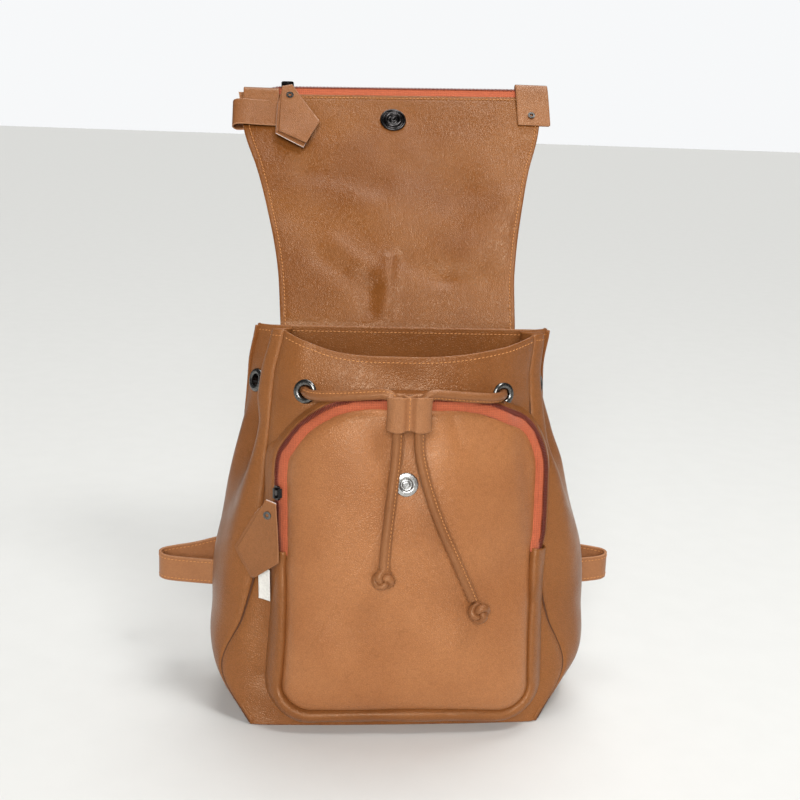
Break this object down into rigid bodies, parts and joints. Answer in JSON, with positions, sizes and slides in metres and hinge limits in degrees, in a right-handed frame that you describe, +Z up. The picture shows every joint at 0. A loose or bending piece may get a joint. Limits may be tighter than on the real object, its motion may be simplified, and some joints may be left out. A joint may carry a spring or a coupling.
{
  "type": "leather backpack",
  "caption": "Drawstring leather backpack with a fold-over flap, an arched zip pocket on the front and slim shoulder straps, standing open.",
  "frame": {"origin": "middle of the underside of the base, on the surface it stands on", "axes": "+Z up, -Y towards the front pocket, +X to the right of someone facing the pocket"},
  "size_m": [0.3986, 0.2859, 0.5038],
  "materials": {
    "leather_body": "pebbled, satin",
    "leather_trim": "smooth, satin",
    "leather_cord": "stitched, satin",
    "lining": "plain weave",
    "board": "matte",
    "zip_tape": "twill tape",
    "zip_teeth": "satin",
    "gunmetal": "polished dark",
    "silver": "polished",
    "label": "woven"
  },
  "bodies": {
    "bag": {"front_panel": "leather_body", "back_panel": "leather_body", "gusset_left": "leather_body", "gusset_right": "leather_body", "base_panel": "leather_body", "base_board": "board", "lining_bag": "lining", "flap_anchor": "leather_body", "strap_anchor_patch": "leather_trim", "pocket_face": "leather_body", "pocket_gusset": "leather_body", "pocket_zip_tape": "zip_tape", "pocket_zip_coil": "zip_teeth", "pocket_label": "label", "pocket_snap": "silver", "grommet_front_left": "gunmetal", "grommet_front_right": "gunmetal", "grommet_side_left": "gunmetal", "grommet_side_right": "gunmetal", "cord_left": "leather_cord", "cord_right": "leather_cord", "cord_inner_run": "leather_cord", "knot_left": "leather_cord", "knot_right": "leather_cord", "strap_lower_left": "leather_trim", "strap_lower_right": "leather_trim", "strap_upper_left": "leather_trim", "strap_upper_right": "leather_trim"},
    "flap_root_half": {"flap_inner_top": "leather_body", "flap_outer_top": "leather_body"},
    "flap_end_half": {"flap_inner_front": "leather_body", "flap_outer_front": "leather_body", "flap_snap": "gunmetal", "flap_zip_tape": "zip_tape", "flap_zip_coil": "zip_teeth", "flap_left_loop": "leather_trim", "flap_left_end_tab": "leather_trim", "flap_right_tab": "leather_trim", "flap_rivets": "gunmetal"},
    "flap_slider": {"flap_zip_slider": "gunmetal"},
    "flap_pull": {"flap_zip_pull": "leather_trim", "flap_pull_eyelet": "gunmetal"},
    "pocket_slider": {"pocket_zip_slider": "gunmetal"},
    "pocket_pull": {"pocket_zip_pull": "leather_trim", "pocket_pull_eyelet": "gunmetal"},
    "cord_toggle": {"toggle": "leather_trim"},
    "haul": {"haul_loop": "leather_trim"},
    "adjuster_left": {"strap_adjuster_left": "gunmetal"},
    "adjuster_right": {"strap_adjuster_right": "gunmetal"}
  },
  "joints": [
    {"name": "flap_fold", "type": "hinge", "parent": "bag", "child": "flap_root_half", "pos_m": [0, 0.0338, 0.3095], "axis": [1, 0, 0], "range_deg": [-40, 123]},
    {"name": "flap_bend", "type": "hinge", "parent": "flap_root_half", "child": "flap_end_half", "pos_m": [0, 0.10538, 0.40332], "axis": [1, 0, 0], "range_deg": [-29.61, 90]},
    {"name": "flap_zip_slide", "type": "slide", "parent": "flap_end_half", "child": "flap_slider", "axis": [0.9996, 0.0181, 0.0232], "range_m": [0, 0.192]},
    {"name": "flap_pull_swing", "type": "hinge", "parent": "flap_slider", "child": "flap_pull", "pos_m": [-0.093, 0.16773, 0.49327], "axis": [-1, 0, 0], "range_deg": [0, 150]},
    {"name": "pocket_zip_slide", "type": "slide", "parent": "bag", "child": "pocket_slider", "axis": [0.0129, -0.1451, -0.9893], "range_m": [0, 0.032]},
    {"name": "pocket_pull_swing", "type": "hinge", "parent": "pocket_slider", "child": "pocket_pull", "pos_m": [-0.1005, -0.0595, 0.186], "axis": [-0.89, 0.456, 0], "range_deg": [0, 110]},
    {"name": "toggle_slide", "type": "slide", "parent": "bag", "child": "cord_toggle", "axis": [0, 0, -1], "range_m": [0, 0.014]},
    {"name": "haul_swing", "type": "hinge", "parent": "bag", "child": "haul", "pos_m": [0, 0.041, 0.2625], "axis": [1, 0, 0], "range_deg": [0, 105]},
    {"name": "adjuster_left_slide", "type": "slide", "parent": "bag", "child": "adjuster_left", "axis": [0.9689, 0.1107, 0.2215], "range_m": [-0.016, 0.016]},
    {"name": "adjuster_right_slide", "type": "slide", "parent": "bag", "child": "adjuster_right", "axis": [-0.9689, 0.1107, 0.2215], "range_m": [-0.016, 0.016]}
  ],
  "couplings": [
    {"joint": "flap_bend", "follows": "flap_fold", "ratio": 0.72764}
  ]
}
